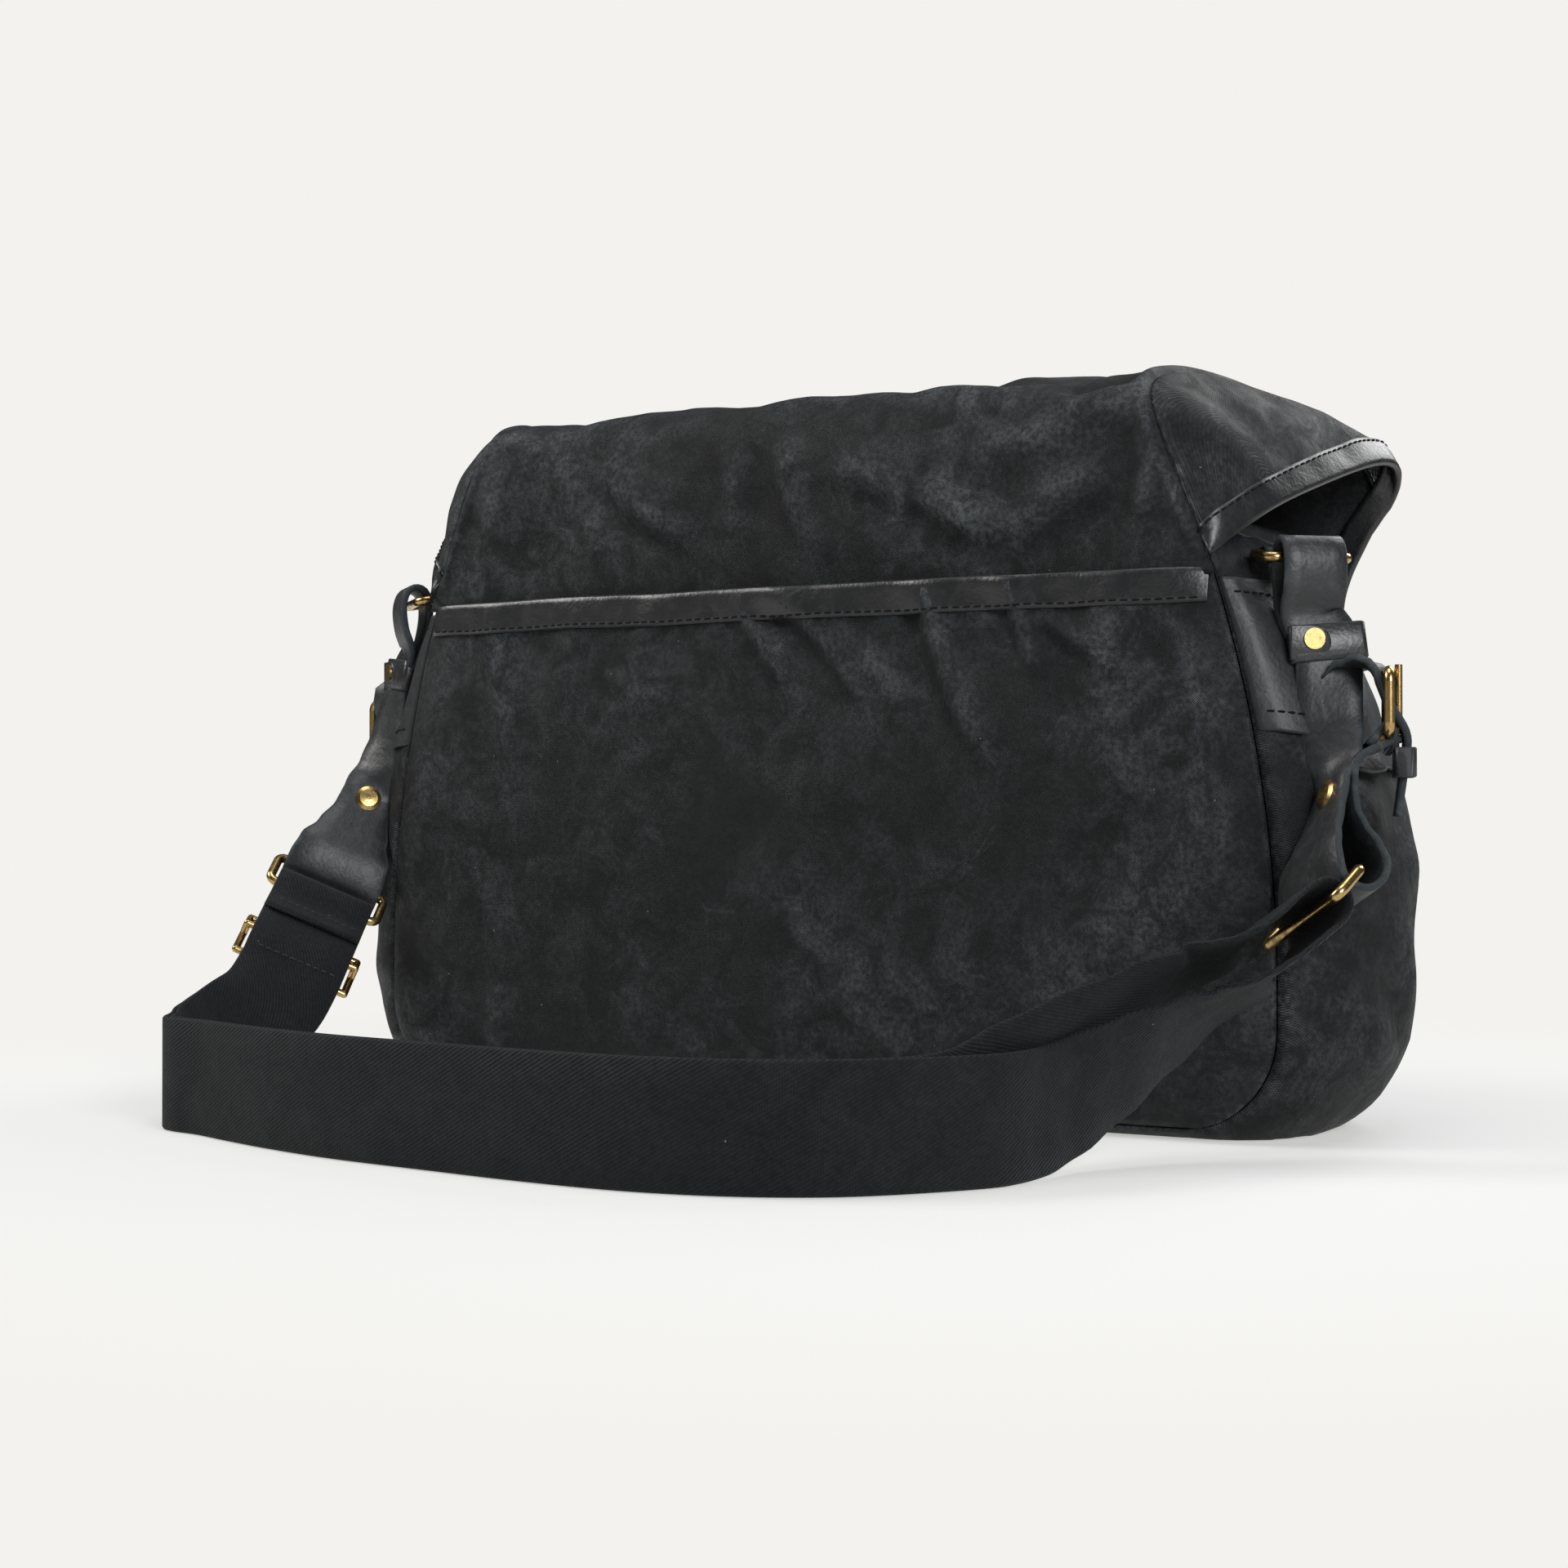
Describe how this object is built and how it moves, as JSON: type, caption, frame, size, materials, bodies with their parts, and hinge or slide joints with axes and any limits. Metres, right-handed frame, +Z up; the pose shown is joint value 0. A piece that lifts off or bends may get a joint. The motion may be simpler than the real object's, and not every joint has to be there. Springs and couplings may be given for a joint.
{
  "type": "messenger bag",
  "caption": "Soft messenger bag with a hooded front flap, rear slip pocket, leather hanger straps, brass rings and a webbing shoulder strap.",
  "frame": {"origin": "centre of the flat base, on the surface the bag stands on", "axes": "+X along the width, to the right when looking at the rear pocket; +Y from the rear pocket towards the front flap; +Z up"},
  "size_m": [0.5084, 0.3563, 0.2987],
  "materials": {
    "canvas": "waxed cotton duck, matt black",
    "lining_cloth": "plain cotton",
    "binding_leather": "semi-gloss black",
    "strap_leather": "satin black bridle leather",
    "webbing": "black cotton twill webbing",
    "brass": "aged solid brass"
  },
  "bodies": {
    "bag": {"right_gusset": "canvas", "right_gusset_patch": "binding_leather", "right_ring_tab": "strap_leather", "right_snap_stud": "brass", "left_gusset": "canvas", "left_gusset_patch": "binding_leather", "left_ring_tab": "strap_leather", "left_snap_stud": "brass", "bottom_panel": "canvas", "back_panel": "canvas", "front_panel": "canvas", "lining": "lining_cloth", "mouth_binding": "binding_leather", "rear_pocket": "canvas", "pocket_binding": "binding_leather"},
    "flap": {"hood_back": "canvas", "hood_top": "canvas", "flap_front": "canvas", "flap_binding": "binding_leather", "right_wing": "canvas", "left_wing": "canvas", "right_wing_binding": "binding_leather", "left_wing_binding": "binding_leather", "right_closure_strap": "strap_leather", "right_closure_buckle": "brass", "right_closure_tab": "strap_leather", "right_snap_cap": "brass", "left_closure_strap": "strap_leather", "left_closure_buckle": "brass", "left_closure_tab": "strap_leather", "left_snap_cap": "brass"},
    "strap": {"webbing": "webbing", "right_hanger_strap": "strap_leather", "right_hanger_keeper": "strap_leather", "right_buckle_keeper": "strap_leather", "right_hanger_cap": "brass", "right_keeper_rivet": "brass", "right_hanger_buckle": "brass", "left_hanger_strap": "strap_leather", "left_hanger_keeper": "strap_leather", "left_buckle_keeper": "strap_leather", "left_hanger_cap": "brass", "left_keeper_rivet": "brass", "left_hanger_buckle": "brass"},
    "right_closure_prong": {"right_closure_prong": "brass"},
    "right_side_ring": {"right_side_ring": "brass"},
    "right_lower_ring": {"right_lower_ring": "brass"},
    "right_hanger_prong": {"right_hanger_prong": "brass"},
    "left_closure_prong": {"left_closure_prong": "brass"},
    "left_side_ring": {"left_side_ring": "brass"},
    "left_lower_ring": {"left_lower_ring": "brass"},
    "left_hanger_prong": {"left_hanger_prong": "brass"},
    "slider": {"strap_slider": "brass"}
  },
  "joints": [
    {"name": "flap_hinge", "type": "hinge", "parent": "bag", "child": "flap", "pos_m": [0, -0.057, 0.222], "axis": [1, 0, 0], "range_deg": [0, 120]},
    {"name": "strap_swing", "type": "hinge", "parent": "bag", "child": "strap", "pos_m": [0, -0.03, 0.2195], "axis": [1, 0, 0], "range_deg": [-130, 0], "deforming": ["right_hanger_strap", "left_hanger_strap"]},
    {"name": "right_ring_hinge", "type": "hinge", "parent": "bag", "child": "right_side_ring", "pos_m": [0.2014, -0.01829, 0.22207], "axis": [-0.7413, -0.6712, 0], "range_deg": [-10, 20]},
    {"name": "right_lower_ring_hinge", "type": "hinge", "parent": "strap", "child": "right_lower_ring", "pos_m": [0.229, -0.066, 0.094], "axis": [0.7139, -0.5732, 0.4022], "range_deg": [-8, 8]},
    {"name": "right_hanger_prong_hinge", "type": "hinge", "parent": "strap", "child": "right_hanger_prong", "pos_m": [0.241, -0.027, 0.1525], "axis": [-0.3102, 0.9507, 0], "range_deg": [0, 60]},
    {"name": "right_closure_prong_hinge", "type": "hinge", "parent": "flap", "child": "right_closure_prong", "pos_m": [0.105, 0.0874, 0.081], "axis": [-1, 0, 0], "range_deg": [0, 60]},
    {"name": "left_ring_hinge", "type": "hinge", "parent": "bag", "child": "left_side_ring", "pos_m": [-0.2014, -0.01829, 0.22207], "axis": [-0.7413, 0.6712, 0], "range_deg": [-10, 20]},
    {"name": "left_lower_ring_hinge", "type": "hinge", "parent": "strap", "child": "left_lower_ring", "pos_m": [-0.229, -0.066, 0.094], "axis": [-0.7139, -0.5732, 0.4022], "range_deg": [-8, 8]},
    {"name": "left_hanger_prong_hinge", "type": "hinge", "parent": "strap", "child": "left_hanger_prong", "pos_m": [-0.228, -0.019, 0.1525], "axis": [-1, 0, 0], "range_deg": [0, 60]},
    {"name": "left_closure_prong_hinge", "type": "hinge", "parent": "flap", "child": "left_closure_prong", "pos_m": [-0.105, 0.0874, 0.081], "axis": [-1, 0, 0], "range_deg": [0, 60]},
    {"name": "slider_slide", "type": "slide", "parent": "strap", "child": "slider", "axis": [0.3453, -0.7879, -0.5099], "range_m": [-0.005, 0.005]}
  ]
}
